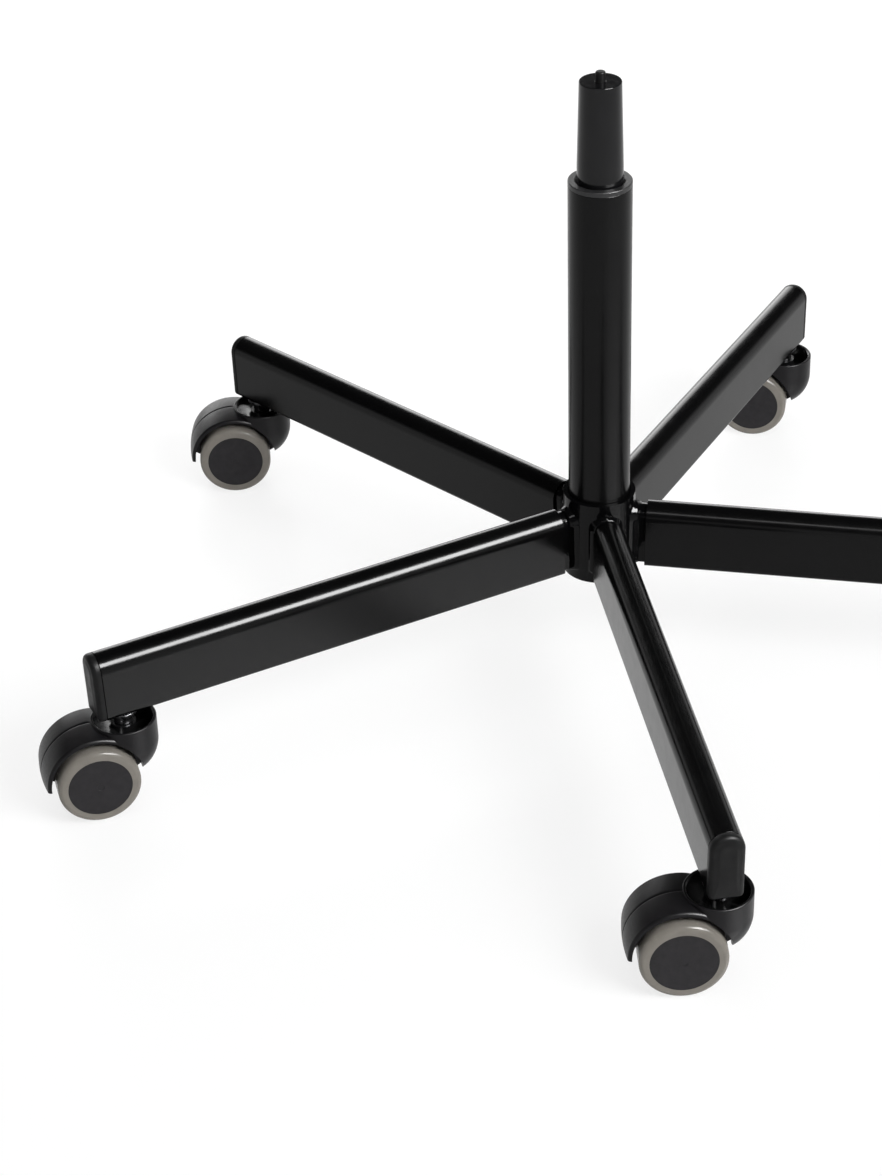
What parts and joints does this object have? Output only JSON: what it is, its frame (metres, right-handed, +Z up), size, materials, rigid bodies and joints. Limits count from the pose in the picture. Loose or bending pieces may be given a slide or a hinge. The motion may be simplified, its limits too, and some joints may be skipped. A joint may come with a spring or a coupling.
{
  "type": "swivel chair base",
  "caption": "Star-shaped welded steel swivel chair base with capped tube legs, twin-wheel casters and a gas spring column that lifts and turns the seat.",
  "frame": {"origin": "on the floor, on the axis of the column", "axes": "+Z up the column, -Y out along the first leg, which stands nearest in the picture"},
  "size_m": [0.695, 0.6511, 0.4],
  "materials": {
    "black_enamel": "gloss black enamel",
    "black_powder_coat": "satin gloss black paint",
    "cap_plastic": "satin black moulding",
    "zinc_steel": "bright steel",
    "column_paint": "semi-matt black",
    "guide_plastic": "dark grey moulding",
    "damper_rubber": "black rubber",
    "cylinder_gloss": "gloss black",
    "pin_plastic": "black moulding",
    "hood_plastic": "fine-textured matt black moulding",
    "wheel_plastic": "matt black moulding",
    "tyre_grey": "satin taupe-grey polyurethane"
  },
  "bodies": {
    "base": {"hub_weldment": "black_enamel", "leg_tube_1": "black_powder_coat", "leg_tube_2": "black_powder_coat", "leg_tube_3": "black_powder_coat", "leg_tube_4": "black_powder_coat", "leg_tube_5": "black_powder_coat", "end_cap_1": "cap_plastic", "end_cap_2": "cap_plastic", "end_cap_3": "cap_plastic", "end_cap_4": "cap_plastic", "end_cap_5": "cap_plastic", "stem_sockets": "zinc_steel", "caster_stems": "zinc_steel", "grip_rings": "zinc_steel", "column_tube": "column_paint", "guide_bushing": "guide_plastic", "lower_race": "zinc_steel"},
    "bearing_cage": {"ball_cage": "guide_plastic", "bearing_balls": "zinc_steel"},
    "spring_rod": {"piston_rod": "zinc_steel", "piston": "zinc_steel", "upper_race": "zinc_steel", "rubber_damper": "damper_rubber", "clip_washer": "zinc_steel", "retaining_clip": "zinc_steel"},
    "seat_post": {"gas_cylinder": "cylinder_gloss", "rod_guide": "guide_plastic"},
    "release_button": {"release_pin": "pin_plastic"},
    "caster_1": {"caster_hood_1": "hood_plastic", "caster_axle_1": "zinc_steel"},
    "wheel_left_1": {"wheel_core_left_1": "wheel_plastic", "tyre_left_1": "tyre_grey"},
    "wheel_right_1": {"wheel_core_right_1": "wheel_plastic", "tyre_right_1": "tyre_grey"},
    "caster_2": {"caster_hood_2": "hood_plastic", "caster_axle_2": "zinc_steel"},
    "wheel_left_2": {"wheel_core_left_2": "wheel_plastic", "tyre_left_2": "tyre_grey"},
    "wheel_right_2": {"wheel_core_right_2": "wheel_plastic", "tyre_right_2": "tyre_grey"},
    "caster_3": {"caster_hood_3": "hood_plastic", "caster_axle_3": "zinc_steel"},
    "wheel_left_3": {"wheel_core_left_3": "wheel_plastic", "tyre_left_3": "tyre_grey"},
    "wheel_right_3": {"wheel_core_right_3": "wheel_plastic", "tyre_right_3": "tyre_grey"},
    "caster_4": {"caster_hood_4": "hood_plastic", "caster_axle_4": "zinc_steel"},
    "wheel_left_4": {"wheel_core_left_4": "wheel_plastic", "tyre_left_4": "tyre_grey"},
    "wheel_right_4": {"wheel_core_right_4": "wheel_plastic", "tyre_right_4": "tyre_grey"},
    "caster_5": {"caster_hood_5": "hood_plastic", "caster_axle_5": "zinc_steel"},
    "wheel_left_5": {"wheel_core_left_5": "wheel_plastic", "tyre_left_5": "tyre_grey"},
    "wheel_right_5": {"wheel_core_right_5": "wheel_plastic", "tyre_right_5": "tyre_grey"}
  },
  "joints": [
    {"name": "seat_swivel", "type": "hinge", "parent": "base", "child": "spring_rod", "pos_m": [0, 0, 0.07], "axis": [0, 0, 1], "continuous": true},
    {"name": "bearing_roll", "type": "hinge", "parent": "base", "child": "bearing_cage", "pos_m": [0, 0, 0.0675], "axis": [0, 0, 1], "continuous": true},
    {"name": "height_slide", "type": "slide", "parent": "spring_rod", "child": "seat_post", "axis": [0, 0, 1], "range_m": [0, 0.14]},
    {"name": "release_press", "type": "slide", "parent": "seat_post", "child": "release_button", "axis": [0, 0, -1], "range_m": [0, 0.004], "stiffness_N_per_m": 5000},
    {"name": "caster_swivel_1", "type": "hinge", "parent": "base", "child": "caster_1", "pos_m": [0, -0.327, 0.05], "axis": [0, 0, 1], "continuous": true},
    {"name": "wheel_spin_left_1", "type": "hinge", "parent": "caster_1", "child": "wheel_left_1", "pos_m": [-0.02069, -0.32483, 0.025], "axis": [0.1045, 0.9945, 0], "continuous": true},
    {"name": "wheel_spin_right_1", "type": "hinge", "parent": "caster_1", "child": "wheel_right_1", "pos_m": [-0.02069, -0.32483, 0.025], "axis": [0.1045, 0.9945, 0], "continuous": true},
    {"name": "caster_swivel_2", "type": "hinge", "parent": "base", "child": "caster_2", "pos_m": [0.311, -0.10105, 0.05], "axis": [0, 0, 1], "continuous": true},
    {"name": "wheel_spin_left_2", "type": "hinge", "parent": "caster_2", "child": "wheel_left_2", "pos_m": [0.29028, -0.09924, 0.025], "axis": [0.0872, 0.9962, 0], "continuous": true},
    {"name": "wheel_spin_right_2", "type": "hinge", "parent": "caster_2", "child": "wheel_right_2", "pos_m": [0.29028, -0.09924, 0.025], "axis": [0.0872, 0.9962, 0], "continuous": true},
    {"name": "caster_swivel_3", "type": "hinge", "parent": "base", "child": "caster_3", "pos_m": [0.19221, 0.26455, 0.05], "axis": [0, 0, 1], "continuous": true},
    {"name": "wheel_spin_left_3", "type": "hinge", "parent": "caster_3", "child": "wheel_left_3", "pos_m": [0.1726, 0.27149, 0.025], "axis": [0.3338, 0.9426, 0], "continuous": true},
    {"name": "wheel_spin_right_3", "type": "hinge", "parent": "caster_3", "child": "wheel_right_3", "pos_m": [0.1726, 0.27149, 0.025], "axis": [0.3338, 0.9426, 0], "continuous": true},
    {"name": "caster_swivel_4", "type": "hinge", "parent": "base", "child": "caster_4", "pos_m": [-0.19221, 0.26455, 0.05], "axis": [0, 0, 1], "continuous": true},
    {"name": "wheel_spin_left_4", "type": "hinge", "parent": "caster_4", "child": "wheel_left_4", "pos_m": [-0.21294, 0.26618, 0.025], "axis": [0.0785, 0.9969, 0], "continuous": true},
    {"name": "wheel_spin_right_4", "type": "hinge", "parent": "caster_4", "child": "wheel_right_4", "pos_m": [-0.21294, 0.26618, 0.025], "axis": [0.0785, 0.9969, 0], "continuous": true},
    {"name": "caster_swivel_5", "type": "hinge", "parent": "base", "child": "caster_5", "pos_m": [-0.311, -0.10105, 0.05], "axis": [0, 0, 1], "continuous": true},
    {"name": "wheel_spin_left_5", "type": "hinge", "parent": "caster_5", "child": "wheel_left_5", "pos_m": [-0.33162, -0.10376, 0.025], "axis": [-0.1305, 0.9914, 0], "continuous": true},
    {"name": "wheel_spin_right_5", "type": "hinge", "parent": "caster_5", "child": "wheel_right_5", "pos_m": [-0.33162, -0.10376, 0.025], "axis": [-0.1305, 0.9914, 0], "continuous": true}
  ],
  "couplings": [
    {"joint": "bearing_roll", "follows": "seat_swivel", "ratio": 0.5}
  ]
}
